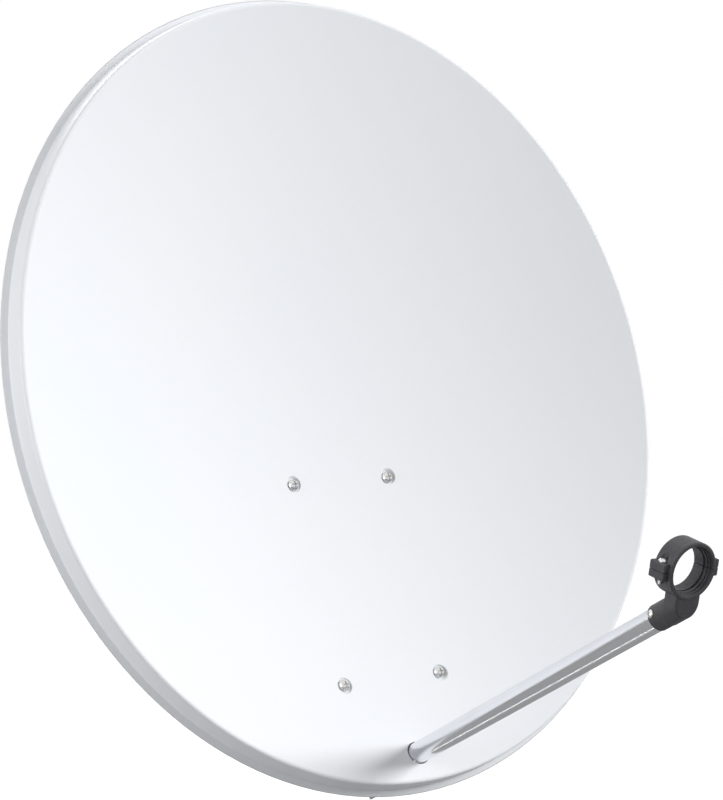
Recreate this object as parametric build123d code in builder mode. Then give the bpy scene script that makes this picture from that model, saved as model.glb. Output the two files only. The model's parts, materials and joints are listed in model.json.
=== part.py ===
from build123d import *

from math import atan, atan2, cos, degrees, radians, sin, sqrt, tan
import os

# Offset satellite dish with its feed arm, LNB clamp and mast mount. Millimetres, +Z up.
# The origin is on the mast axis, halfway up the mast clamp. The dish looks towards -Y.

# ---- Driving dimensions ----------------------------------------------------------------

# Reflector: a cut through a paraboloid of revolution, framed by a pressed rim
dish_width = 758.0  # across the sharp rim edge, before it is rounded
focal_length = 480.0
lower_edge_offset = 21.0  # from the paraboloid's axis to the lower rim edge
sheet = 1.0
rim_tilt = 17.1  # the rim plane's normal above the horizon, at rest
rim_depth = 24.4
rim_flare = 4.5
rim_radius = 3.2
lip_width = 6.0
lip_rise = 3.0
lip_wall = 2.2  # the lip's thickness measured across the rim
drain_length = 24.0
drain_height = 3.0
slack = 10.0  # how far a cutting shape reaches past what it cuts

# Four screws hold the reflector on its back plate
screw_across = 58.8  # half the pattern's width
upper_screws = -91.6  # below the rim's centre, in the rim plane
lower_screws = -303.0
dimple_depth = 1.6
dimple_radius = 7.0
m6_hole = 3.3  # radius

# Back plate and the two brackets riveted to it
plate = 2.5
standoff = 10.0
back_plate_width = 150.0
back_plate_height = 250.0
plate_corner = 18.0
tongue_width = 72.0
tongue_below_arm = 22.0
tongue_corner = 12.0
arm_foot_width = 66.0
arm_foot_height = 40.0
boss_radius = 8.8
boss_taper = 20.0
plate_flange = 10.0
rivet_radius = 2.4
rivet_across = 28.0
rivet_heights = (-48.0, 0.0, 42.0)
arm_rivet_across = 26.0
arm_rivet_up = 13.0

# Tilt bracket, hinged to the mast bracket
cheek_inner = 46.1  # half the clear width between its cheeks
pivot_up = 35.0  # the pivot's place in the seat plane's own axes
pivot_back = -75.0
lock_radius = 45.0  # from the pivot to the curved slot
lock_margin = 17.0
web_top = 60.0
web_bottom = -70.0
bend_radius = 1.5  # inside every bend
tick_depth = 0.4
tilt_travel = 20.0  # degrees each way
m8_radius = 4.0
running_gap = 0.05
side_gap = 0.1  # between plates that slide past each other
rivet_gap = 0.05
tick_count = 9
tick_length = 4.0
tick_width = 0.7

# Mast bracket and clamp
bracket_sheet = 3.0
mast_radius = 24.0
clamp_height = 90.0
web_height = 100.0
pivot_to_web = 62.0
pivot_height = 20.0
jaw_half_angle = 50.0
mast_bolt_across = 33.5
mast_bolt_up = 32.0
mast_bolt_length = 80.0
lock_bolt_length = 25.0
pivot_bolt_end = 12.0  # past the washer on the nut's side
wing_reach = 47.0

# Feed arm and LNB clamp
arm_base_up = -382.2  # where the arm's axis starts, in the rim plane's own axes
arm_base_out = -15.1
arm_lean = 10.95  # the arm's axis from the rim plane's normal, upwards
arm_radius = 11.0
arm_wall = 1.5
arm_rear = -88.0
arm_front = 436.0
arm_hole_gap = 1.0
arm_bolt_length = 38.0
arm_bolts_along = (-68.0, -38.0)
holder_screw_along = 415.0
holder_screw_turn = 14.0  # degrees above the arm's side
feed_along = 462.4  # the clamp ring's centre, in the arm's own axes
feed_above = 27.6
ring_lean = -39.05  # the ring's axis from the arm's axis
ring_bore = 20.0
ring_wall = 6.0
ring_front = 11.0  # from the ring's centre, along its axis
ring_back = -11.8
ring_edge = 1.0
bore_front = 1.0
bore_steps = ((1.0, 2.4, 1.2), (2.4, 5.2, 0.6), (5.2, 8.0, 1.3), (8.0, 10.0, 2.0))
bore_mouth = 0.7
ear_reach = 31.5
ear_half_height = 7.5
ear_front = 7.5
ear_back = -10.5
ear_screw_across = 25.5
split_gap = 0.6
sleeve_mouth = 410.5
sleeve_radius = 12.3
sleeve_rise = 0.5  # the sleeve's wall is thin below the arm and thick above it
neck_half = 14.0
neck_front = 10.0  # from the ring's middle, along its axis
neck_back = -5.0
neck_corner = 12.0
neck_edge = 2.5

# Fasteners: radius, across flats, head or nut height
m8_washer = 8.0
m8_size = 13.0
m8_head = 5.3
m8_nut = 6.5
m8_hole = 4.2
m8_clamp_hole = 4.5
m6_size = 10.0
m6_head = 4.0
m6_nut = 5.0
m6_radius = 3.0
m6_washer = 6.2
m6_pan_radius = 6.2
m6_pan_head = 4.6
m6_screw_length = 14.0
m4_radius = 2.0
m4_hole = 2.1
m4_spot_face = 4.5
m4_size = 7.0
m4_nut = 3.2
m4_pocket = 7.2
washer_thickness = 1.6

os.makedirs("parts", exist_ok=True)


# ---- Planes ----------------------------------------------------------------------------

offset_angle = atan((2 * lower_edge_offset + dish_width) / (4 * focal_length))
dish_height = dish_width / cos(offset_angle)
half_width = dish_width / 2
half_height = dish_height / 2
centre_radius = lower_edge_offset + half_width  # rim centre's distance from the axis
upper_radius = lower_edge_offset + dish_width
centre_rise = (upper_radius**2 + lower_edge_offset**2) / (8 * focal_length)


def face_depth(across, up):
    """Height of the concave face above the rim plane (negative: behind it)."""
    s, c = sin(offset_angle), cos(offset_angle)
    radial = centre_radius + up * c
    a = s * s
    b = 2 * s * radial + 4 * focal_length * c
    d = across**2 + radial**2 - 4 * focal_length * (centre_rise + up * s)
    return (b - sqrt(b * b - 4 * a * d)) / (2 * a)


right = Vector(1, 0, 0)
rim_out = Vector(0, -cos(radians(rim_tilt)), sin(radians(rim_tilt)))
rim_up = Vector(0, sin(radians(rim_tilt)), cos(radians(rim_tilt)))

# The seat plane lies through the concave face at the four screws
upper_depth = face_depth(screw_across, upper_screws)
lower_depth = face_depth(screw_across, lower_screws)
seat_lean = atan2(lower_depth - upper_depth, upper_screws - lower_screws)
seat_up = rim_up * cos(seat_lean) - rim_out * sin(seat_lean)
seat_out = rim_up * sin(seat_lean) + rim_out * cos(seat_lean)
screw_up = (upper_screws - lower_screws) / cos(seat_lean) / 2

pivot = Vector(0, -mast_radius - 2 * bracket_sheet - pivot_to_web, pivot_height)
seat_centre = pivot - seat_up * pivot_up - seat_out * pivot_back
seat = Plane(seat_centre, x_dir=right, z_dir=seat_out)
seat_side = Plane(seat_centre, x_dir=seat_up, z_dir=right)

rim_centre = (
    seat_centre
    - rim_up * (upper_screws + lower_screws) / 2
    - rim_out * (upper_depth + lower_depth) / 2
)
rim = Plane(rim_centre, x_dir=right, z_dir=rim_out)

# The paraboloid's axis, and the plane its generating curve is drawn in
beam = rim_up * sin(offset_angle) + rim_out * cos(offset_angle)
beam_up = rim_up * cos(offset_angle) - rim_out * sin(offset_angle)
vertex = rim_centre - beam_up * centre_radius - beam * centre_rise
meridian = Plane(vertex, x_dir=beam_up, z_dir=beam_up.cross(beam))

# The feed arm's axis is z, and the ring stands above it
arm_out = rim_up * sin(radians(arm_lean)) + rim_out * cos(radians(arm_lean))
arm_base = rim_centre + rim_up * arm_base_up + rim_out * arm_base_out
arm = Plane(arm_base, x_dir=right, z_dir=arm_out)
arm_side = Plane(arm_base, x_dir=arm.y_dir, z_dir=right)

ring_out = arm.y_dir * sin(radians(ring_lean)) + arm_out * cos(radians(ring_lean))
ring_centre = arm_base + arm_out * feed_along + arm.y_dir * feed_above
ring = Plane(ring_centre, x_dir=right, z_dir=ring_out)
ring_top = Plane(ring_centre, x_dir=right, z_dir=ring.y_dir)

dimple_floor = -dimple_depth - sheet  # back of the reflector's dimples, from the seat
plate_front = dimple_floor - standoff
plate_back = plate_front - plate
web_back = plate_back - plate


def at(frame, x, y, z=0.0):
    """The plane parallel to frame, moved to x, y, z in frame's own axes."""
    return Plane(frame.from_local_coords(Vector(x, y, z)), frame.x_dir, frame.z_dir)


def facing(place, direction, up):
    """A plane at place whose normal is direction."""
    return Plane(place, x_dir=up, z_dir=direction)


# ---- Fasteners, each added to the part being built ---------------------------------------


def section_of(base):
    """The plane through base's axis: x is base's x, and y is base's normal."""
    return Plane(base.origin, x_dir=base.x_dir, z_dir=-base.y_dir)


def rod(base, radius, length):
    """A round rod that stands on base, or hangs from it where length is negative."""
    with BuildSketch(base) as disc:
        Circle(radius)
    extrude(disc.sketch, amount=length)


def washer(base, bore, radius, thickness=washer_thickness):
    """A flat ring that stands on base."""
    with BuildSketch(base) as disc:
        Circle(radius)
        Circle(bore, mode=Mode.SUBTRACT)
    extrude(disc.sketch, amount=thickness)


def hole(base, radius, depth):
    """A round hole cut both ways from base."""
    with BuildSketch(base) as disc:
        Circle(radius)
    extrude(disc.sketch, amount=depth, both=True, mode=Mode.SUBTRACT)


def hexagon(base, across_flats, height, bore=0.0):
    """Hexagonal prism on base with its far corners bevelled, as nuts and heads have."""
    flat = across_flats / 2
    corner = across_flats / sqrt(3)
    bevel = (corner - flat) * tan(radians(30))
    with BuildSketch(base) as outline:
        RegularPolygon(corner, 6)
        if bore:
            Circle(bore, mode=Mode.SUBTRACT)
    extrude(outline.sketch, amount=height)
    low = height - bevel - tan(radians(30))
    with BuildSketch(section_of(base)) as bevel_cut:
        Polygon((flat, height), (corner + 1, low), (corner + 1, height + 1), align=None)
    revolve(bevel_cut.sketch, axis=Axis(base.origin, base.z_dir), mode=Mode.SUBTRACT)


def hex_bolt(base, radius, across_flats, head, length):
    """Hex bolt: the head stands on base and the shank goes the other way."""
    rod(base, radius, -length)
    hexagon(base, across_flats, head)


def pan_screw(base, radius, head_radius, head, length):
    """Pan-head screw with a cross recess: the head stands on base."""
    with BuildSketch(section_of(base)) as half:
        with BuildLine():
            Polyline((0, head), (0, -length), (radius, -length), (radius, 0), (head_radius, 0))
            Line((head_radius, 0), (head_radius, head * 0.35))
            ThreePointArc(
                (head_radius, head * 0.35), (head_radius * 0.62, head * 0.86), (0, head)
            )
        make_face()
    revolve(half.sketch, axis=Axis(base.origin, base.z_dir))
    with BuildSketch(base.offset(head * 0.35)) as cross:
        Rectangle(head_radius * 1.1, head_radius * 0.24)
        Rectangle(head_radius * 0.24, head_radius * 1.1)
    extrude(cross.sketch, amount=head, mode=Mode.SUBTRACT)


def rivet(base, radius, grip):
    """Flat rivet: a low head on base, a shank through grip, and a closed head behind."""
    rod(base, radius, -grip)
    rod(base, radius * 1.8, 1.5)
    rod(base.offset(-grip), radius * 1.6, -2.0)


def finish(builder, name):
    builder.part.label = name
    export_step(builder.part, f"parts/{name}.step")


# ---- Reflector -------------------------------------------------------------------------

screw_seats = [
    at(seat, x, y) for x in (-screw_across, screw_across) for y in (-screw_up, screw_up)
]
skirt_heights = (8.0, -rim_depth)  # from just above the rim edge down to the lip
lip_heights = (-rim_depth, lip_rise - rim_depth)
lip_growths = (rim_flare + lip_width, rim_flare * (1 - lip_rise / rim_depth))
deepest = 60.0


def rim_outline(height, growth):
    """The rim's outline at a height along the rim's normal, grown outwards."""
    with BuildSketch(rim.offset(height)) as outline:
        Ellipse(half_width + growth, half_height + growth)
    return outline.sketch


def skirt_growth(height):
    return -height * rim_flare / rim_depth


# Everything in front of the concave face, inside the full paraboloid
reach = upper_radius + 20
with BuildPart() as bowl_space:
    with BuildSketch(meridian):
        with BuildLine():
            Bezier((0, 0), (reach / 2, 0), (reach, reach**2 / (4 * focal_length)))
            Line((reach, reach**2 / (4 * focal_length)), (0, reach**2 / (4 * focal_length)))
            Line((0, reach**2 / (4 * focal_length)), (0, 0))
        make_face()
    revolve(axis=Axis(vertex, beam))

# The space behind the sheet, less the four cups that hold the screw heads
with BuildPart() as back_space:
    loft([rim_outline(height, skirt_growth(height) - sheet) for height in skirt_heights])
    loft([rim_outline(*place) for place in zip(lip_heights, [g - lip_wall for g in lip_growths])])
    with BuildSketch(rim.offset(-rim_depth)):
        Rectangle(dish_width + 100, dish_height + 100)
    extrude(amount=-deepest - 20)
    add(bowl_space.part.moved(Location(-beam * sheet)), mode=Mode.SUBTRACT)
    front_edge = edges().group_by(Axis(rim_centre, rim_out))[-1]
    fillet(front_edge, radius=rim_radius - sheet)
    for place in screw_seats:
        with BuildSketch(place.offset(dimple_floor)):
            Circle(dimple_radius + sheet * 0.6)
        extrude(amount=5, taper=-45, mode=Mode.SUBTRACT)

with BuildPart() as reflector:
    loft([rim_outline(height, skirt_growth(height)) for height in skirt_heights])
    loft([rim_outline(*place) for place in zip(lip_heights, lip_growths)])
    extrude(rim_outline(-rim_depth, -10), amount=-deepest)
    add(bowl_space.part, mode=Mode.SUBTRACT)
    front_edge = edges().group_by(Axis(rim_centre, rim_out))[-1]
    fillet(front_edge, radius=rim_radius)
    add(back_space.part, mode=Mode.SUBTRACT)
    for place in screw_seats:
        with BuildSketch(place.offset(-dimple_depth)):
            Circle(dimple_radius)
        extrude(amount=5, taper=-45, mode=Mode.SUBTRACT)
        hole(place, m6_hole, 10)
    hole(arm, arm_radius + arm_hole_gap, 30)
    # Drain slot in the skirt, at the very bottom
    drain = at(rim, 0, -half_height + 15, -rim_depth + lip_rise + drain_height / 2)
    with BuildSketch(facing(drain.origin, -rim.y_dir, rim.x_dir)):
        SlotOverall(drain_length, drain_height)
    extrude(amount=40, mode=Mode.SUBTRACT)
finish(reflector, "reflector")

with BuildPart() as reflector_screws:
    for place in screw_seats:
        head_seat = place.offset(-dimple_depth)
        pan_screw(head_seat, m6_radius, m6_pan_radius, m6_pan_head, m6_screw_length)
finish(reflector_screws, "reflector_screws")

nut_seats = [facing(p.offset(dimple_floor - plate).origin, -seat_out, right) for p in screw_seats]

with BuildPart() as reflector_washers:
    for place in nut_seats:
        washer(place, m6_hole, m6_washer)
finish(reflector_washers, "reflector_washers")

with BuildPart() as reflector_nuts:
    for place in nut_seats:
        hexagon(place.offset(washer_thickness), m6_size, m6_nut, m6_radius)
finish(reflector_nuts, "reflector_nuts")


# ---- Back plate ------------------------------------------------------------------------

arm_seat_y = seat.to_local_coords(arm_base).Y
tongue_end = arm_seat_y - tongue_below_arm
rivet_seats = [
    at(seat, x, y, plate_front) for x in (-rivet_across, rivet_across) for y in rivet_heights
]
arm_rivet_seats = [
    at(seat, x, arm_seat_y + y, plate_front)
    for x in (-arm_rivet_across, arm_rivet_across)
    for y in (-arm_rivet_up, arm_rivet_up)
]
boss_slope = tan(radians(boss_taper))

with BuildPart() as back_plate:
    with BuildSketch(seat.offset(plate_back)):
        RectangleRounded(back_plate_width, back_plate_height, plate_corner)
        with Locations((0, (tongue_end - screw_up) / 2)):
            Rectangle(tongue_width, -screw_up - tongue_end)
        fillet(vertices().group_by(Axis.Y)[0], radius=tongue_corner)
    extrude(amount=plate)
    # Side flanges, bent back
    for side in (-1, 1):
        with BuildSketch(seat.offset(plate_back - plate_flange)):
            with Locations((side * (back_plate_width - plate) / 2, 0)):
                Rectangle(plate, back_plate_height - 2 * plate_corner)
        extrude(amount=plate_flange + plate)
    side_edges = edges().filter_by(Axis(seat_centre, seat_up)).group_by(SortBy.LENGTH)[-1]
    side_levels = side_edges.group_by(Axis(seat_centre, seat_out))
    fillet(side_levels[-1], radius=plate - 0.5)
    fillet(side_levels[-2], radius=bend_radius)
    # Pressed bosses that reach forward to the reflector
    for place in screw_seats:
        with BuildSketch(place.offset(plate_back)):
            Circle(boss_radius + (standoff + plate) * boss_slope)
        extrude(amount=standoff + plate, taper=boss_taper)
    for place in screw_seats:
        with BuildSketch(place.offset(plate_back)):
            Circle(boss_radius - plate * 0.8 + standoff * boss_slope)
        extrude(amount=standoff, taper=boss_taper, mode=Mode.SUBTRACT)
        hole(place.offset(plate_back), m6_hole, 20)
    for place in rivet_seats + arm_rivet_seats:
        hole(place, rivet_radius + rivet_gap, 10)
    hole(arm, arm_radius + arm_hole_gap, 60)
finish(back_plate, "back_plate")


# ---- Tilt bracket: two cheeks that turn on the pivot bolt --------------------------------

cheek_outer = cheek_inner + plate
tick_circle = lock_radius + lock_margin - 4.5
first_tick = 180 + rim_tilt + degrees(seat_lean) - tilt_travel
slot_ends = [
    (
        pivot_up - lock_radius * cos(radians(rim_tilt) + seat_lean + radians(turn)),
        pivot_back - lock_radius * sin(radians(rim_tilt) + seat_lean + radians(turn)),
    )
    for turn in (-tilt_travel - 1, 0, tilt_travel + 1)
]

with BuildPart() as tilt_bracket:
    with BuildSketch(seat.offset(web_back)):
        with Locations((0, (web_top + web_bottom) / 2)):
            Rectangle(2 * cheek_outer, web_top - web_bottom)
    extrude(amount=plate)
    for side in (-cheek_outer, cheek_inner):
        with BuildSketch(seat_side.offset(side)):
            with BuildLine():
                CenterArc((pivot_up, pivot_back), lock_margin, 0, 360)
                for slot_end in (slot_ends[0], slot_ends[-1]):
                    CenterArc(slot_end, lock_margin, 0, 360)
                Line((web_bottom, plate_back), (web_top, plate_back))
            make_hull()
            with Locations((pivot_up, pivot_back)):
                Circle(m8_radius + running_gap, mode=Mode.SUBTRACT)
        extrude(amount=plate)
    bend_edges = edges().filter_by(Axis(seat_centre, seat_up))
    bend_levels = bend_edges.group_by(Axis(seat_centre, seat_out))
    fillet(bend_levels[-1], radius=bend_radius + plate)
    fillet(bend_levels[-2], radius=bend_radius)
    for side in (-cheek_outer - 1, cheek_inner - 1):
        with BuildSketch(seat_side.offset(side)):
            with BuildLine(mode=Mode.PRIVATE) as slot_path:
                ThreePointArc(slot_ends[0], slot_ends[1], slot_ends[2])
            SlotArc(slot_path.edges()[0], 2 * m8_hole)
        extrude(amount=plate + 2, mode=Mode.SUBTRACT)
    # Elevation scale, stamped beside the slot every five degrees
    for outer_face, inwards in ((-cheek_outer, tick_depth), (cheek_outer, -tick_depth)):
        with BuildSketch(seat_side.offset(outer_face)):
            with Locations((pivot_up, pivot_back)):
                with PolarLocations(tick_circle, tick_count, first_tick, 2 * tilt_travel):
                    Rectangle(tick_length, tick_width)
        extrude(amount=inwards, mode=Mode.SUBTRACT)
    for place in rivet_seats:
        hole(place, rivet_radius + rivet_gap, 10)
finish(tilt_bracket, "tilt_bracket")

with BuildPart() as bracket_rivets:
    for place in rivet_seats:
        rivet(place, rivet_radius, 2 * plate)
finish(bracket_rivets, "bracket_rivets")


# ---- Arm bracket: a flanged saddle round the arm's rear end -------------------------------

saddle_bore = arm_radius + 0.05
saddle_front = arm.to_local_coords(at(seat, 0, arm_seat_y, plate_back).origin).Z

with BuildPart() as arm_bracket:
    with BuildSketch(arm.offset(arm_rear + 6)):
        Circle(saddle_bore + plate)
        with Locations((0, -saddle_bore)):
            Rectangle(2 * (saddle_bore + plate), 2 * saddle_bore)
        Circle(saddle_bore, mode=Mode.SUBTRACT)
        with Locations((0, -saddle_bore)):
            Rectangle(2 * saddle_bore, 2 * saddle_bore, mode=Mode.SUBTRACT)
    extrude(amount=saddle_front - arm_rear)
    split(bisect_by=seat.offset(plate_back), keep=Keep.BOTTOM)
    with BuildSketch(at(seat, 0, arm_seat_y, web_back)):
        RectangleRounded(arm_foot_width, arm_foot_height, 6)
    extrude(amount=plate)
    hole(arm, saddle_bore, 60)
    for along in arm_bolts_along:
        hole(facing(arm.from_local_coords(Vector(0, 0, along)), right, arm_out), m6_hole, 30)
    for place in arm_rivet_seats:
        hole(place, rivet_radius + rivet_gap, 10)
finish(arm_bracket, "arm_bracket")

with BuildPart() as arm_bracket_rivets:
    for place in arm_rivet_seats:
        rivet(place, rivet_radius, 2 * plate)
finish(arm_bracket_rivets, "arm_bracket_rivets")

# The screw that keeps the LNB holder on the arm
screw_way = arm.y_dir * sin(radians(holder_screw_turn)) - right * cos(radians(holder_screw_turn))
sleeve_middle = at(arm, 0, sleeve_rise, sleeve_mouth)
screw_line = arm_base + arm.y_dir * sleeve_rise + arm_out * holder_screw_along
holder_screw_seat = facing(screw_line + screw_way * (sleeve_radius - 0.4), screw_way, arm_out)

with BuildPart() as feed_arm:
    with BuildSketch(arm.offset(arm_rear)):
        Circle(arm_radius)
        Circle(arm_radius - arm_wall, mode=Mode.SUBTRACT)
    extrude(amount=arm_front - arm_rear)
    for along in arm_bolts_along:
        hole(facing(arm.from_local_coords(Vector(0, 0, along)), right, arm_out), m6_hole, 30)
    with BuildSketch(holder_screw_seat):
        Circle(m4_hole)
    extrude(amount=-6, mode=Mode.SUBTRACT)
finish(feed_arm, "feed_arm")

with BuildPart() as arm_end_plug:
    plug = facing(arm.from_local_coords(Vector(0, 0, arm_rear)), -arm_out, right)
    rod(plug, arm_radius, 2)
    rod(plug, arm_radius - arm_wall - 0.05, -10)
    hole(plug.offset(-6), arm_radius - 2 * arm_wall, 4)
    fillet(edges().group_by(Axis(plug.origin, plug.z_dir))[-1], radius=1.2)
finish(arm_end_plug, "arm_end_plug")

arm_side_reach = saddle_bore + plate
head_side = [arm.from_local_coords(Vector(-arm_side_reach, 0, z)) for z in arm_bolts_along]
nut_side = [arm.from_local_coords(Vector(arm_side_reach, 0, z)) for z in arm_bolts_along]

with BuildPart() as arm_bolts:
    for place in head_side:
        hex_bolt(facing(place, -right, arm_out), m6_radius, m6_size, m6_head, arm_bolt_length)
finish(arm_bolts, "arm_bolts")

with BuildPart() as arm_washers:
    for place in nut_side:
        washer(facing(place, right, arm_out), m6_hole, m6_washer)
finish(arm_washers, "arm_washers")

with BuildPart() as arm_nuts:
    for place in nut_side:
        nut_base = facing(place, right, arm_out).offset(washer_thickness)
        hexagon(nut_base, m6_size, m6_nut, m6_radius)
finish(arm_nuts, "arm_nuts")


# ---- LNB holder: sleeve, neck and the lower half of the clamp ring -------------------------

half_lift = split_gap / 2
ear_middle = -(ear_front + ear_back) / 2
screw_tops = [
    at(ring_top, x, ear_middle, ear_half_height) for x in (-ear_screw_across, ear_screw_across)
]
nut_bottoms = [
    facing(place.offset(-2 * ear_half_height).origin, -ring_top.z_dir, right)
    for place in screw_tops
]


def ring_half(up):
    """Half of the clamp ring with its two ears; up is +1 for the top half."""
    with BuildSketch(section_of(ring)) as wall:
        with BuildLine():
            outside = ring_bore + ring_wall
            Polyline(
                (0, ring_back),
                (outside - ring_edge, ring_back),
                (outside, ring_back + ring_edge),
                (outside, ring_front - ring_edge),
                (outside - ring_edge, ring_front),
                (0, ring_front),
                (0, ring_back),
            )
        make_face()
    revolve(wall.sketch, axis=Axis(ring_centre, ring_out))
    with BuildSketch(ring.offset(ear_back)) as ears:
        RectangleRounded(2 * ear_reach, 2 * ear_half_height, 1.2)
    extrude(ears.sketch, amount=ear_front - ear_back)
    far_side = at(ring_top, 0, 0, up * (half_lift - 40))
    with BuildSketch(far_side) as other_half:
        Rectangle(100, 100)
    extrude(other_half.sketch, amount=40, both=True, mode=Mode.SUBTRACT)


def ring_bores():
    """The round seat for the LNB's neck, which steps wider towards the front."""
    hole(ring, ring_bore, 40)
    with BuildSketch(section_of(ring)) as cuts:
        for low, high, wider in bore_steps:
            with Locations(((ring_bore + wider) / 2, (low + high) / 2)):
                Rectangle(ring_bore + wider, high - low)
        mouth = ring_bore + bore_steps[-1][-1]
        top = bore_steps[-1][1]
        Polygon((0, top), (mouth, top), (mouth + bore_mouth, ring_front), (0, ring_front), align=None)
        rear = ring_bore + bore_mouth
        Polygon(
            (0, ring_back + bore_mouth), (ring_bore, ring_back + bore_mouth), (rear, ring_back),
            (0, ring_back), align=None,
        )
    revolve(cuts.sketch, axis=Axis(ring_centre, ring_out), mode=Mode.SUBTRACT)


# The neck is as deep as the sleeve, with its sides carried straight up to the ring
with BuildPart() as neck:
    with BuildSketch(sleeve_middle):
        with Locations((0, sleeve_radius)):
            Rectangle(2 * neck_half, 4 * sleeve_radius)
        fillet(vertices().group_by(Axis.Y)[0], radius=neck_corner)
    extrude(amount=80)
    split(bisect_by=ring.offset(neck_front), keep=Keep.BOTTOM)
    front_edges = edges().group_by(Axis(ring_centre, ring_out))[-1]
    fillet(front_edges.sort_by(Axis(ring_centre, ring.y_dir))[:-1], radius=neck_edge)
    split(bisect_by=ring.offset(neck_back), keep=Keep.TOP)

with BuildPart() as lnb_holder:
    with BuildSketch(sleeve_middle):
        Circle(sleeve_radius)
    extrude(amount=80)
    split(bisect_by=ring.offset(neck_front / 2), keep=Keep.BOTTOM)
    add(neck.part)
    ring_half(-1)
    ring_bores()
    with BuildSketch(arm.offset(sleeve_mouth - 1)):
        Circle(arm_radius + 0.05)
    extrude(amount=arm_front + 1 - sleeve_mouth, mode=Mode.SUBTRACT)
    hole(holder_screw_seat, m4_hole, 4)
    hole(holder_screw_seat.offset(4), 4.2, 4)
    for place in nut_bottoms:
        hole(place, m4_hole, 40)
        with BuildSketch(place):
            RegularPolygon(m4_pocket / sqrt(3), 6)
        extrude(amount=-m4_nut, mode=Mode.SUBTRACT)
finish(lnb_holder, "lnb_holder")

with BuildPart() as holder_screw:
    pan_screw(holder_screw_seat, m4_radius, 3.8, 2.6, 7)
finish(holder_screw, "holder_screw")

with BuildPart() as clamp_nuts:
    for place in nut_bottoms:
        hexagon(place.offset(-m4_nut), m4_size, m4_nut, m4_radius + running_gap)
finish(clamp_nuts, "clamp_nuts")


# ---- LNB cap: the upper half of the clamp ring, lifted off with its two screws --------------

with BuildPart() as lnb_cap:
    ring_half(1)
    ring_bores()
    for place in screw_tops:
        hole(place, m4_hole, 40)
        hole(place.offset(slack), m4_spot_face, slack)
finish(lnb_cap, "lnb_cap")

with BuildPart() as clamp_screws:
    for place in screw_tops:
        pan_screw(place, m4_radius, 4.0, 3.0, 20)
finish(clamp_screws, "clamp_screws")


# ---- Mast bracket: a channel that stands on the mast clamp ----------------------------------

web_front = -mast_radius - 2 * bracket_sheet
lock_place = pivot - Vector(0, 0, lock_radius)
flange_outer = cheek_inner - side_gap
side_view = Plane(origin=(0, 0, 0), x_dir=(0, 1, 0), z_dir=(1, 0, 0))
bolt_places = [
    (x, z) for x in (-mast_bolt_across, mast_bolt_across) for z in (-mast_bolt_up, mast_bolt_up)
]
head_plane = Plane(origin=(0, web_front, 0), x_dir=(1, 0, 0), z_dir=(0, -1, 0))

with BuildPart() as mast_bracket:
    with BuildSketch(head_plane):
        Rectangle(2 * flange_outer, web_height)
    extrude(amount=-bracket_sheet)
    for side in (-flange_outer, flange_outer - bracket_sheet):
        with BuildSketch(side_view.offset(side)):
            with BuildLine():
                CenterArc((pivot.Y, pivot.Z), lock_margin, 0, 360)
                CenterArc((lock_place.Y, lock_place.Z), lock_margin - 2, 0, 360)
                web_rear = web_front + bracket_sheet
                Line((web_rear, -web_height / 2), (web_rear, web_height / 2))
            make_hull()
            with Locations((pivot.Y, pivot.Z), (lock_place.Y, lock_place.Z)):
                Circle(m8_hole, mode=Mode.SUBTRACT)
        extrude(amount=bracket_sheet)
    bend_levels = edges().filter_by(Axis.Z).group_by(Axis.Y)
    fillet(bend_levels[-1], radius=bend_radius + bracket_sheet)
    fillet(bend_levels[-2], radius=bend_radius)
    with BuildSketch(head_plane):
        with Locations(*bolt_places):
            Circle(m8_clamp_hole)
    extrude(amount=bracket_sheet, both=True, mode=Mode.SUBTRACT)
finish(mast_bracket, "mast_bracket")

washer_out = cheek_outer + side_gap  # where the washers outside the cheeks start
bolt_out = washer_out + washer_thickness
right_of_pivot = Plane(pivot, x_dir=(0, 1, 0), z_dir=(1, 0, 0))
left_of_pivot = Plane(pivot, x_dir=(0, 1, 0), z_dir=(-1, 0, 0))
right_of_lock = Plane(lock_place, x_dir=(0, 1, 0), z_dir=(1, 0, 0))
left_of_lock = Plane(lock_place, x_dir=(0, 1, 0), z_dir=(-1, 0, 0))

with BuildPart() as pivot_bolt:
    bolt_length = 2 * bolt_out + pivot_bolt_end
    hex_bolt(left_of_pivot.offset(bolt_out), m8_radius, m8_size, m8_head, bolt_length)
finish(pivot_bolt, "pivot_bolt")

with BuildPart() as pivot_washers:
    for base in (left_of_pivot, right_of_pivot):
        washer(base.offset(washer_out), m8_hole, m8_washer)
finish(pivot_washers, "pivot_washers")

with BuildPart() as pivot_nut:
    hexagon(right_of_pivot.offset(bolt_out), m8_size, m8_nut, m8_radius)
finish(pivot_nut, "pivot_nut")

with BuildPart() as lock_bolts:
    inner_face = flange_outer - bracket_sheet
    for base in (left_of_lock, right_of_lock):
        rod(base.offset(inner_face), m8_radius, lock_bolt_length)
        hexagon(base.offset(inner_face - m8_head), m8_size, m8_head)
finish(lock_bolts, "lock_bolts")

with BuildPart() as lock_washers:
    for base in (left_of_lock, right_of_lock):
        washer(base.offset(washer_out), m8_hole, m8_washer)
finish(lock_washers, "lock_washers")

with BuildPart() as lock_nuts:
    for base in (left_of_lock, right_of_lock):
        hexagon(base.offset(bolt_out), m8_size, m8_nut, m8_radius)
finish(lock_nuts, "lock_nuts")


# ---- Mast clamp: a saddle on the web and a jaw that slides on the four long bolts ------------

clamp_line = mast_radius + bracket_sheet / 2  # radius of the sheet's middle
clamp_bottom = Plane(origin=(0, 0, -clamp_height / 2))
arc_x = clamp_line * sin(radians(jaw_half_angle))
arc_y = clamp_line * cos(radians(jaw_half_angle))
wing_rear = arc_y + bracket_sheet / 2


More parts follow.
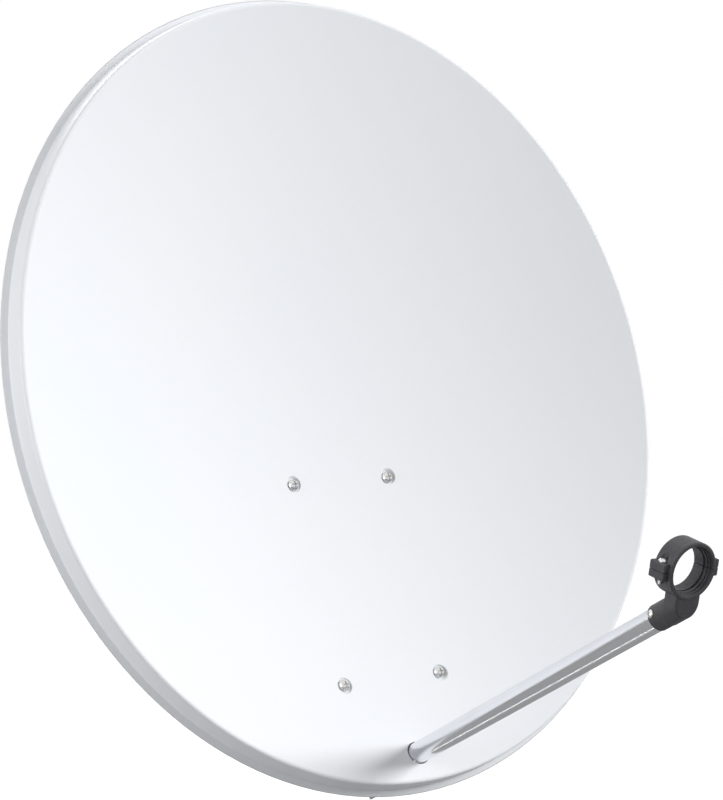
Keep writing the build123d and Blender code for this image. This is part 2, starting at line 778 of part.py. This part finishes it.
def clamp_section(middle_angle, *wing):
    """Section of a pressed jaw: a seat for the mast, and a wing each side of it."""
    with BuildSketch(clamp_bottom) as section:
        with BuildLine():
            first = middle_angle - jaw_half_angle
            inner = CenterArc((0, 0), mast_radius, first, 2 * jaw_half_angle)
            outer = CenterArc((0, 0), mast_radius + bracket_sheet, first, 2 * jaw_half_angle)
            Line(inner @ 0, outer @ 0)
            Line(inner @ 1, outer @ 1)
        make_face()
        for side in (-1, 1):
            with BuildLine(mode=Mode.PRIVATE) as wing_line:
                Polyline(*[(side * x, y) for x, y in wing])
            trace(wing_line.line, line_width=bracket_sheet)
    return section.sketch


def mast_bolt_holes():
    with BuildSketch(head_plane) as holes:
        with Locations(*bolt_places):
            Circle(m8_clamp_hole)
    extrude(holes.sketch, amount=-100, mode=Mode.SUBTRACT)


with BuildPart() as mast_saddle:
    saddle_wing = ((arc_x, -arc_y), (27, -clamp_line), (wing_reach, -clamp_line))
    extrude(clamp_section(-90, *saddle_wing), amount=clamp_height)
    mast_bolt_holes()
finish(mast_saddle, "mast_saddle")

with BuildPart() as mast_jaw:
    jaw_wing = ((arc_x, arc_y), (wing_reach, arc_y), (wing_reach, arc_y + 9))
    extrude(clamp_section(90, *jaw_wing), amount=clamp_height)
    mast_bolt_holes()
finish(mast_jaw, "mast_jaw")

bolt_heads = [at(head_plane, x, z) for x, z in bolt_places]
jaw_faces = [
    Plane(origin=(x, wing_rear, z), x_dir=(1, 0, 0), z_dir=(0, 1, 0)) for x, z in bolt_places
]

with BuildPart() as mast_bolts:
    for place in bolt_heads:
        hex_bolt(place, m8_radius, m8_size, m8_head, mast_bolt_length)
finish(mast_bolts, "mast_bolts")

with BuildPart() as jaw_washers:
    for place in jaw_faces:
        washer(place, m8_hole, m8_washer)
finish(jaw_washers, "jaw_washers")

with BuildPart() as jaw_nuts:
    for place in jaw_faces:
        nut_base = place.offset(washer_thickness)
        hexagon(nut_base, m8_size, m8_nut, m8_radius + running_gap)
finish(jaw_nuts, "jaw_nuts")
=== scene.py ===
import json
import math

import bmesh
import bpy
from mathutils import Matrix, Vector


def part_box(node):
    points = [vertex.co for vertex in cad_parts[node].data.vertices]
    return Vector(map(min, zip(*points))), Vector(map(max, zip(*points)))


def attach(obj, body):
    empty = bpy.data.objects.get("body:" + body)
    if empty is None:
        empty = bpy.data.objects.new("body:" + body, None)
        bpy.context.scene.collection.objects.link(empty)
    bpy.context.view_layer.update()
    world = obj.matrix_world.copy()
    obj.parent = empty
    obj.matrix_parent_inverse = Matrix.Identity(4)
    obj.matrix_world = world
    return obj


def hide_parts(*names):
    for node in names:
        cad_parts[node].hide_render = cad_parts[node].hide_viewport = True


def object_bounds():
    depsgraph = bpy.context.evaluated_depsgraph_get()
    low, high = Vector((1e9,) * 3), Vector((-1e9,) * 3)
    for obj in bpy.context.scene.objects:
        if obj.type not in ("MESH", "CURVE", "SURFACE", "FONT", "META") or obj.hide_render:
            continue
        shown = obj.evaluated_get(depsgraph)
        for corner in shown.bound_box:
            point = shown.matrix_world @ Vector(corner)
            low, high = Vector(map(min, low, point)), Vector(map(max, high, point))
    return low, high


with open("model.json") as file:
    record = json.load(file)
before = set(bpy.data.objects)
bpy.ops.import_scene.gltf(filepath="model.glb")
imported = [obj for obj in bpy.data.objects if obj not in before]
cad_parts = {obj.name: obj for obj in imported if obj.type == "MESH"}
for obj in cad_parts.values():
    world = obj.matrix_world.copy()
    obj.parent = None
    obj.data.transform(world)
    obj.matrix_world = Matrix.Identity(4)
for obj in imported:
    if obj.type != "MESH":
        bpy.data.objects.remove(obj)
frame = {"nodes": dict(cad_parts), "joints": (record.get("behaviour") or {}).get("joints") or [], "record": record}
cad_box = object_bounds()
nodes = frame["nodes"]
record = frame["record"]
joints = {joint["name"]: joint for joint in frame["joints"]}

MM = 0.001
X = Vector((1, 0, 0))
Y = Vector((0, 1, 0))

# Camera, at the photo's angle
CAMERA_PLACE = Vector((-1.3652, -2.1585, 0.4199))
CAMERA_LOOK = Vector((0.5628, 0.8218, -0.0886))
LENS = 106.37
SENSOR = 36.0

# Studio. Azimuths are in degrees from -Y towards +X
STUDIO_MIDDLE = Vector((0, -0.2, 0.2))
LAMP_DISTANCE = 3.0
KEY_AZIMUTH = 54.0
KEY_HEIGHT = 25.0
KEY_STRENGTH = 3.3
KEY_SOFTNESS = 24.0  # degrees across, as the object sees it
ROOM_STRENGTH = 0.6
MIRRORED_STRENGTH = 0.95
PURE_WHITE = (1.0, 1.0, 1.0, 1.0)

# The room's light by height, where 0 is straight down and 1 is straight up
GROUND_TOP = 0.3
GROUND_LIGHT = (0.2, 0.2, 0.21, 1.0)
HORIZON = 0.52
HORIZON_LIGHT = (0.78, 0.78, 0.79, 1.0)
SKY_LIGHT = (0.4, 0.41, 0.42, 1.0)

# Backdrop brightness: in the main view, and away from it
WHITE = 1.0
OFF_WHITE = 0.68
SAME_VIEW = 0.92  # cosines of the angle from the main view
OTHER_VIEW = 0.45

# Floor
FLOOR_SIZE = 60.0
FLOOR_BELOW = 0.35
FLOOR_GREY = 0.3
FLOOR_GLOW = 0.85  # what the camera sees added to the lit grey, in the main view
FLOOR_GLOW_AWAY = 0.42
FLOOR_NEAR = 0.8  # where the floor starts to fade into the backdrop
FLOOR_FAR = 5.0

# Strip lamp beside the feed arm
STRIP_LENGTH = 0.9
STRIP_WIDTH = 0.007
STRIP_POWER = 0.09
STRIP_DISTANCE = 0.2
STRIP_TURN = 55.0  # degrees below the line from the tube to the camera

# Threads
ROD_SIDES = 36
ROWS_PER_TURN = 6
THREAD_DEPTH = 0.6  # this and the tip's taper are parts of a pitch
TIP_TAPER = 0.7
THREAD_STEEPNESS = 1.3  # above 1, the thread has a flat crest and root
THREAD_CREST = 0.15
HEAD_REACH = 1.2  # what is further out than this many shank radii is the head
STUB = 0.2 * MM  # the CAD shank that is kept under its head
SHANK_START = 0.05 * MM  # the new shank's top, below the head
SAME_HEIGHT = 0.1 * MM
SAME_PLACE = 0.001 * MM

# Bends of the rounded normal away from the flat one, for worn edges
NO_EDGE = 0.004
FULL_EDGE = 0.12


# ---- Shader nodes ------------------------------------------------------------------------


class Tree:
    """A node tree, with short ways to add nodes and link them."""

    def __init__(self, tree):
        self.tree = tree

    def add(self, kind, **settings):
        node = self.tree.nodes.new(kind)
        for key, value in settings.items():
            setattr(node, key, value)
        return node

    def feed(self, socket, value):
        if isinstance(value, bpy.types.NodeSocket):
            self.tree.links.new(value, socket)
        else:
            socket.default_value = value

    def span(self, value, low, high, to_low=0.0, to_high=1.0, smooth=False):
        """The value, with low to high carried to to_low to to_high, and held at both ends."""
        node = self.add("ShaderNodeMapRange")
        if smooth:
            node.interpolation_type = "SMOOTHSTEP"
        for socket, number in zip(node.inputs[:5], (value, low, high, to_low, to_high)):
            self.feed(socket, number)
        return node.outputs[0]

    def math(self, operation, first, second=0.0):
        node = self.add("ShaderNodeMath", operation=operation)
        self.feed(node.inputs[0], first)
        self.feed(node.inputs[1], second)
        return node.outputs[0]

    def dot(self, first, second):
        node = self.add("ShaderNodeVectorMath", operation="DOT_PRODUCT")
        self.feed(node.inputs[0], first)
        self.feed(node.inputs[1], second)
        return node.outputs["Value"]

    def emission(self, kind, color, strength):
        node = self.add(kind)
        self.feed(node.inputs["Color"], color)
        self.feed(node.inputs["Strength"], strength)
        return node.outputs[0]

    def blend(self, share, first, second):
        """Two whole shaders, mixed."""
        node = self.add("ShaderNodeMixShader")
        for socket, value in zip(node.inputs, (share, first, second)):
            self.feed(socket, value)
        return node.outputs[0]


class Shader(Tree):
    """A material: its surface, and the textures and edge effects that feed it."""

    def __init__(self, name):
        self.material = bpy.data.materials.new(name)
        self.material.use_nodes = True
        super().__init__(self.material.node_tree)
        self.surface = self.tree.nodes["Principled BSDF"]
        self.place = self.add("ShaderNodeTexCoord").outputs["Object"]
        self.normal = self.add("ShaderNodeNewGeometry").outputs["Normal"]

    def set(self, **values):
        """Inputs of the surface, with _ for the spaces in their names."""
        for key, value in values.items():
            self.feed(self.surface.inputs[key.replace("_", " ")], value)

    def stretched(self, axis, factor):
        """The place, with distances along axis divided by factor."""
        turned = self.add("ShaderNodeMapping")
        self.feed(turned.inputs["Vector"], self.place)
        upright = axis.to_track_quat("Z", "Y").to_matrix().transposed()
        turned.inputs["Rotation"].default_value = upright.to_euler()
        scaled = self.add("ShaderNodeMapping")
        self.feed(scaled.inputs["Vector"], turned.outputs[0])
        scaled.inputs["Scale"].default_value = (1, 1, 1 / factor)
        return scaled.outputs[0]

    def noise(self, scale, detail=3.0, rough=0.55, place=None):
        node = self.add("ShaderNodeTexNoise")
        self.feed(node.inputs["Vector"], place or self.place)
        self.feed(node.inputs["Scale"], scale)
        self.feed(node.inputs["Detail"], detail)
        self.feed(node.inputs["Roughness"], rough)
        return node.outputs["Fac"]

    def cells(self, scale):
        """Crystals, with a random value for each."""
        node = self.add("ShaderNodeTexVoronoi")
        self.feed(node.inputs["Vector"], self.place)
        self.feed(node.inputs["Scale"], scale)
        split = self.add("ShaderNodeSeparateColor")
        self.feed(split.inputs[0], node.outputs["Color"])
        return split.outputs[0]

    def tint(self, base, share, color):
        """The base colour, with a share of another one laid over it."""
        node = self.add("ShaderNodeMix", data_type="RGBA")
        self.feed(node.inputs["Factor"], share)
        self.feed(node.inputs[6], base)
        self.feed(node.inputs[7], color)
        return node.outputs[2]

    def rounded(self, radius):
        """The normal, as if sharp edges had this radius."""
        node = self.add("ShaderNodeBevel", samples=4)
        self.feed(node.inputs["Radius"], radius)
        return node.outputs[0]

    def edges(self, rounded):
        """1 at sharp edges, fading to 0 on flat faces."""
        bend = self.math("SUBTRACT", 1.0, self.dot(rounded, self.normal))
        return self.span(bend, NO_EDGE, FULL_EDGE)

    def bump(self, height, distance, normal):
        node = self.add("ShaderNodeBump")
        self.feed(node.inputs["Height"], height)
        self.feed(node.inputs["Distance"], distance)
        self.feed(node.inputs["Normal"], normal)
        return node.outputs[0]


def shade(red, green, blue):
    return (red, green, blue, 1.0)


# ---- Materials -----------------------------------------------------------------------------


def powder_coat():
    """Light grey powder coat: satin, with a fine orange peel and slightly thin edges."""
    s = Shader("powder_coat")
    rounded = s.rounded(0.8 * MM)
    worn = s.math("MULTIPLY", s.edges(rounded), s.span(s.noise(60, 4), 0.45, 0.7))
    clouds = s.span(s.noise(2.2, 3), 0.3, 0.7)
    specks = s.span(s.noise(900, 2), 0.35, 0.65)
    base = s.tint(shade(0.765, 0.785, 0.815), clouds, shade(0.79, 0.805, 0.83))
    base = s.tint(base, s.math("MULTIPLY", specks, 0.18), shade(0.7, 0.715, 0.74))
    base = s.tint(base, s.math("MULTIPLY", worn, 0.35), shade(0.55, 0.56, 0.57))
    s.set(Base_Color=base, Metallic=0.0, IOR=1.5)
    s.set(Roughness=s.span(s.noise(260, 3), 0.3, 0.7, 0.34, 0.44))
    s.set(Coat_Weight=0.15, Coat_Roughness=0.3)
    peel = s.bump(s.noise(420, 2, 0.6), 0.05 * MM, rounded)
    s.set(Normal=s.bump(s.noise(1300, 2, 0.6), 0.02 * MM, peel))
    return s.material


def galvanised():
    """Hot-dip galvanised sheet: spangle, dull clouds, brighter rubbed edges."""
    s = Shader("galvanised_sheet")
    rounded = s.rounded(0.5 * MM)
    big = s.cells(95)
    small = s.cells(260)
    crystal = s.math("ADD", s.math("MULTIPLY", big, 0.7), s.math("MULTIPLY", small, 0.3))
    dull = s.span(s.noise(28, 4), 0.42, 0.68)
    rub = s.math("MULTIPLY", s.edges(rounded), s.span(s.noise(130, 3), 0.3, 0.6))
    base = s.tint(shade(0.47, 0.49, 0.51), crystal, shade(0.7, 0.72, 0.74))
    base = s.tint(base, s.math("MULTIPLY", dull, 0.45), shade(0.42, 0.43, 0.44))
    base = s.tint(base, s.math("MULTIPLY", rub, 0.7), shade(0.83, 0.84, 0.85))
    s.set(Base_Color=base, Metallic=0.9)
    rough = s.math("ADD", s.span(crystal, 0, 1, 0.3, 0.46), s.math("MULTIPLY", dull, 0.12))
    s.set(Roughness=rough)
    flow = s.bump(s.noise(45, 3), 0.25 * MM, rounded)
    s.set(Normal=s.bump(big, 0.02 * MM, flow))
    return s.material


def zinc():
    """Bright zinc plate: a faint blue and yellow passivation tint, small stains, rubbed edges."""
    s = Shader("zinc_plate")
    rounded = s.rounded(0.25 * MM)
    passivation = s.span(s.noise(180, 3), 0.35, 0.65)
    stain = s.span(s.noise(420, 4), 0.5, 0.75)
    base = s.tint(shade(0.72, 0.75, 0.8), passivation, shade(0.82, 0.8, 0.74))
    base = s.tint(base, s.math("MULTIPLY", stain, 0.4), shade(0.5, 0.5, 0.5))
    base = s.tint(base, s.math("MULTIPLY", s.edges(rounded), 0.5), shade(0.92, 0.92, 0.92))
    s.set(Base_Color=base, Metallic=1.0)
    s.set(Roughness=s.span(s.noise(700, 3), 0.3, 0.7, 0.2, 0.38))
    s.set(Normal=s.bump(s.noise(900, 2), 0.015 * MM, rounded))
    return s.material


def plated_tube(axis):
    """Bright plated tube, with fine drawing lines along it and a few dull patches."""
    s = Shader("plated_tube")
    rounded = s.rounded(0.3 * MM)
    lines = s.span(s.noise(900, 2, 0.6, s.stretched(axis, 200)), 0.3, 0.7)
    clouds = s.span(s.noise(22, 3), 0.35, 0.65)
    base = s.tint(shade(0.79, 0.8, 0.82), lines, shade(0.85, 0.86, 0.88))
    base = s.tint(base, s.math("MULTIPLY", clouds, 0.25), shade(0.72, 0.73, 0.75))
    s.set(Base_Color=base, Metallic=1.0)
    rough = s.math("ADD", s.span(lines, 0, 1, 0.15, 0.2), s.math("MULTIPLY", clouds, 0.05))
    s.set(Roughness=rough)
    s.set(Normal=s.bump(lines, 0.0015 * MM, rounded))
    return s.material


def plastic():
    """Charcoal plastic with a moulded grain, and a painted highlight along its edges."""
    s = Shader("charcoal_plastic")
    rounded = s.rounded(0.5 * MM)
    grain = s.span(s.noise(1400, 3, 0.7), 0.35, 0.65)
    dust = s.span(s.noise(70, 4), 0.5, 0.8)
    base = s.tint(shade(0.027, 0.025, 0.029), grain, shade(0.062, 0.059, 0.066))
    base = s.tint(base, s.math("MULTIPLY", dust, 0.25), shade(0.12, 0.117, 0.125))
    # painted highlight: every sharp edge, convex or concave, is lightened towards a paler grey
    base = s.tint(base, s.math("MULTIPLY", s.edges(rounded), 0.35), shade(0.16, 0.16, 0.165))
    s.set(Base_Color=base, Metallic=0.0)
    s.set(Roughness=s.span(s.noise(300, 3), 0.3, 0.7, 0.42, 0.56))
    s.set(Normal=s.bump(grain, 0.05 * MM, rounded))
    return s.material


# ---- Threads -------------------------------------------------------------------------------


def solids(node):
    """The separate solids of a CAD node, as welded meshes in a fixed order."""
    whole = bmesh.new()
    whole.from_mesh(nodes[node].data)
    bmesh.ops.remove_doubles(whole, verts=whole.verts, dist=SAME_PLACE)
    whole.verts.ensure_lookup_table()
    seen = set()
    found = []
    for start in whole.verts:
        if start in seen:
            continue
        island = {start}
        waiting = [start]
        while waiting:
            for edge in waiting.pop().link_edges:
                for vert in edge.verts:
                    if vert not in island:
                        island.add(vert)
                        waiting.append(vert)
        seen |= island
        part = bmesh.new()
        copies = {}
        for vert in sorted(island, key=lambda v: v.index):
            copies[vert] = part.verts.new(vert.co)
        for face in whole.faces:
            if face.verts[0] in island:
                part.faces.new([copies[vert] for vert in face.verts])
        found.append(part)
    whole.free()
    return found


def average(verts):
    return sum((vert.co for vert in verts), Vector()) / len(verts)


def across(place, axis):
    """The part of place that is square to axis."""
    return place - axis * place.dot(axis)


def rod_row(radii, z):
    """Points round Z at height z, at the given radii."""
    row = []
    for side, radius in enumerate(radii):
        angle = 2 * math.pi * side / ROD_SIDES
        row.append(Vector((radius * math.cos(angle), radius * math.sin(angle), z)))
    return row


def thread_rows(radius, pitch, start, end):
    """Rows of points round Z for a rod whose thread runs from start down to end: it deepens
    over its first turn, and its tip tapers."""
    depth = THREAD_DEPTH * pitch
    rows = []
    count = max(2, round((start - end) / pitch * ROWS_PER_TURN))
    for row in range(count + 1):
        z = start + (end - start) * row / count
        run_in = min(1.0, (start - z) / pitch)
        taper = 1 - (z - end) / (TIP_TAPER * pitch)
        radii = []
        for side in range(ROD_SIDES):
            wave = abs(2 * ((z / pitch + side / ROD_SIDES) % 1.0) - 1)
            cut = depth * min(1.0, max(0.0, THREAD_STEEPNESS * wave - THREAD_CREST))
            cut = max(cut, depth * taper) if taper > 0 else cut * run_in
            radii.append(radius - cut)
        rows.append(rod_row(radii, z))
    return rows


def add_rows(mesh, rows, place):
    """A closed skin over rows of points, with flat ends."""
    rings = [[mesh.verts.new(place @ point) for point in row] for row in rows]
    count = len(rings[0])
    for upper, lower in zip(rings, rings[1:]):
        for side in range(count):
            after = (side + 1) % count
            face = mesh.faces.new((upper[side], lower[side], lower[after], upper[after]))
            face.smooth = True
    mesh.faces.new(rings[0])
    mesh.faces.new(rings[-1][::-1])


def join(mesh, part):
    """Adds part to mesh, and frees it."""
    kept = bpy.data.meshes.new("kept")
    part.to_mesh(kept)
    part.free()
    mesh.from_mesh(kept)
    bpy.data.meshes.remove(kept)


def threaded(node, heading, radius, pitch, plain, body):
    """Stands for a CAD node of screws whose heads are towards heading: the CAD heads, on
    shanks with real threads. plain is the length of smooth shank under each head. Where
    heading is None, the screws lie along X and their heads are towards the middle."""
    built = bmesh.new()
    for part in solids(node):
        axis = heading or (-X if average(part.verts).x > 0 else X)
        tip = min(vert.co.dot(axis) for vert in part.verts)
        end = [vert for vert in part.verts if vert.co.dot(axis) < tip + SAME_HEIGHT]
        middle = across(average(end), axis)
        seat = math.inf
        for vert in part.verts:
            if (across(vert.co, axis) - middle).length > HEAD_REACH * radius:
                seat = min(seat, vert.co.dot(axis))
        for vert in end:
            vert.co += axis * (seat - STUB - tip)
        join(built, part)
        place = Matrix.Translation(middle) @ axis.to_track_quat("Z", "Y").to_matrix().to_4x4()
        top = rod_row([radius] * ROD_SIDES, seat - SHANK_START)
        add_rows(built, [top] + thread_rows(radius, pitch, seat - plain, tip), place)
    mesh = bpy.data.meshes.new(node + "_threaded")
    built.to_mesh(mesh)
    built.free()
    piece = bpy.data.objects.new(node + "_threaded", mesh)
    bpy.context.scene.collection.objects.link(piece)
    mesh.materials.append(looks["zinc"])
    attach(piece, body)
    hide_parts(node)


def reflector_screw_axis():
    """Square to the plane through the middles of the reflector's washers, towards its face."""
    first, second, third = [average(part.verts) for part in solids("reflector_washers")][:3]
    axis = (second - first).cross(third - first).normalized()
    return -axis if axis.y > 0 else axis


arm_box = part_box("feed_arm")
arm_low = Vector((0, arm_box[1].y, arm_box[0].z))
arm_high = Vector((0, arm_box[0].y, arm_box[1].z))
arm_way = (arm_high - arm_low).normalized()
looks = {
    "reflector": powder_coat(),
    "galvanised": galvanised(),
    "zinc": zinc(),
    "arm": plated_tube(arm_way),
    "black_plastic": plastic(),
}
for entry in record["subparts"]:
    node = nodes[entry["node"]]
    node.data.materials.clear()
    node.data.materials.append(looks[entry["material_slot"]])

cap_up = Vector(joints["lnb_cap_lift"]["axis"])
for name, heading, radius, pitch, plain, body in (  # lengths in mm
    ("reflector_screws", reflector_screw_axis(), 3.0, 1.0, 1.0, "dish"),
    ("arm_bolts", -X, 3.0, 1.0, 18.0, "dish"),
    ("mast_bolts", -Y, 4.0, 1.25, 20.0, "mast_mount"),
    ("pivot_bolt", -X, 4.0, 1.25, 96.0, "mast_mount"),
    ("lock_bolts", None, 4.0, 1.25, 6.0, "mast_mount"),
    ("clamp_screws", cap_up, 2.0, 0.7, 1.0, "lnb_clamp_top"),
):
    threaded(name, heading, radius * MM, pitch * MM, plain * MM, body)


# ---- Studio --------------------------------------------------------------------------------


def camera():
    data = bpy.data.cameras.new("camera")
    data.sensor_width = SENSOR
    data.lens = LENS
    cam = bpy.data.objects.new("camera", data)
    cam.location = CAMERA_PLACE
    cam.rotation_euler = CAMERA_LOOK.to_track_quat("-Z", "Y").to_euler()
    bpy.context.scene.collection.objects.link(cam)
    bpy.context.scene.camera = cam


def add_lamp(name, kind, power):
    data = bpy.data.lights.new(name, kind)
    data.energy = power
    lamp = bpy.data.objects.new(name, data)
    bpy.context.scene.collection.objects.link(lamp)
    return lamp


def direction(azimuth, height):
    """From the object towards a place in the studio, with both angles in degrees."""
    turn, rise = math.radians(azimuth), math.radians(height)
    flat = Vector((math.sin(turn), -math.cos(turn), 0))
    return flat * math.cos(rise) + Vector((0, 0, math.sin(rise)))


def key_light():
    """A large lamp far off to the right, so that its light falls evenly across the dish."""
    lamp = add_lamp("key", "SUN", KEY_STRENGTH)
    lamp.data.angle = math.radians(KEY_SOFTNESS)
    way = direction(KEY_AZIMUTH, KEY_HEIGHT)
    lamp.rotation_euler = (-way).to_track_quat("-Z", "Y").to_euler()
    lamp.visible_glossy = False


def round_light(name, azimuth, height, size, power):
    """A round soft lamp that faces the object."""
    lamp = add_lamp(name, "AREA", power)
    lamp.data.shape = "DISK"
    lamp.data.size = size
    way = direction(azimuth, height)
    lamp.location = STUDIO_MIDDLE + way * LAMP_DISTANCE
    lamp.rotation_euler = (-way).to_track_quat("-Z", "Y").to_euler()


def strip_light():
    """A long lamp beside the feed arm, seen only as the thin bright line along the tube. It is
    shifted along the tube to where the camera sees it mirrored."""
    lamp = add_lamp("strip", "AREA", STRIP_POWER)
    lamp.data.shape = "RECTANGLE"
    lamp.data.size = STRIP_LENGTH
    lamp.data.size_y = STRIP_WIDTH
    middle = (arm_low + arm_high) / 2
    sight = CAMERA_PLACE - middle
    view = across(sight, arm_way)
    slant = sight.dot(arm_way) / view.length
    view.normalize()
    below = view.cross(arm_way).normalized()
    if below.z > 0:
        below = -below
    turn = math.radians(STRIP_TURN)
    way = view * math.cos(turn) + below * math.sin(turn)
    lamp.location = middle + (way - arm_way * slant) * STRIP_DISTANCE
    lamp.rotation_euler = Matrix((arm_way, way.cross(arm_way), way)).transposed().to_euler()
    lamp.visible_camera = False
    lamp.visible_diffuse = False


def backdrop(tree, behind, elsewhere):
    """A brightness for the camera: behind in the main view, fading to elsewhere round it."""
    sight = tree.add("ShaderNodeNewGeometry").outputs["Incoming"]
    turn = tree.dot(sight, -CAMERA_LOOK)
    return tree.span(turn, OTHER_VIEW, SAME_VIEW, elsewhere, behind, smooth=True)


def studio_world():
    """The backdrop to the camera and white in reflections. What it lights, it lights as a
    soft room, dimmer above and below."""
    world = bpy.data.worlds.new("studio")
    world.use_nodes = True
    tree = Tree(world.node_tree)
    tree.tree.nodes.clear()
    place = tree.add("ShaderNodeTexCoord").outputs["Generated"]
    split = tree.add("ShaderNodeSeparateXYZ")
    tree.feed(split.inputs[0], place)
    ramp = tree.add("ShaderNodeValToRGB")
    tree.feed(ramp.inputs[0], tree.span(split.outputs["Z"], -1.0, 1.0))
    stops = ramp.color_ramp.elements
    stops[0].position = GROUND_TOP
    stops[0].color = GROUND_LIGHT
    stops[1].color = SKY_LIGHT
    stops.new(HORIZON).color = HORIZON_LIGHT
    room = tree.emission("ShaderNodeBackground", ramp.outputs[0], ROOM_STRENGTH)
    mirrored = tree.emission("ShaderNodeBackground", PURE_WHITE, MIRRORED_STRENGTH)
    seen = tree.emission("ShaderNodeBackground", PURE_WHITE, backdrop(tree, WHITE, OFF_WHITE))
    ray = tree.add("ShaderNodeLightPath")
    lighting = tree.blend(ray.outputs["Is Glossy Ray"], room, mirrored)
    out = tree.add("ShaderNodeOutputWorld")
    tree.feed(out.inputs[0], tree.blend(ray.outputs["Is Camera Ray"], lighting, seen))
    bpy.context.scene.world = world


def studio_floor():
    """A pale floor that runs on into the backdrop behind it."""
    height = cad_box[0][2] - FLOOR_BELOW
    bpy.ops.mesh.primitive_plane_add(size=FLOOR_SIZE, location=(0, 0, height))
    floor = bpy.context.object
    floor.name = "floor"
    s = Shader("floor")
    s.set(Base_Color=shade(FLOOR_GREY, FLOOR_GREY, FLOOR_GREY), Roughness=0.9)
    lit = s.surface.outputs[0]
    glow = s.emission("ShaderNodeEmission", PURE_WHITE, backdrop(s, FLOOR_GLOW, FLOOR_GLOW_AWAY))
    near = s.add("ShaderNodeAddShader")
    s.feed(near.inputs[0], lit)
    s.feed(near.inputs[1], glow)
    far = s.emission("ShaderNodeEmission", PURE_WHITE, backdrop(s, WHITE, OFF_WHITE))
    reach = s.add("ShaderNodeVectorMath", operation="LENGTH")
    s.feed(reach.inputs[0], s.place)
    fade = s.span(reach.outputs["Value"], FLOOR_NEAR, FLOOR_FAR)
    seen = s.blend(fade, near.outputs[0], far)
    ray = s.add("ShaderNodeLightPath")
    out = s.tree.nodes["Material Output"]
    s.feed(out.inputs[0], s.blend(ray.outputs["Is Camera Ray"], lit, seen))
    floor.data.materials.append(s.material)


studio_world()
studio_floor()
strip_light()
key_light()
round_light("left_fill", azimuth=-87, height=12, size=2.4, power=50)
round_light("back_fill", azimuth=170, height=35, size=2.0, power=32)
camera()
bpy.context.scene.view_settings.view_transform = "Standard"
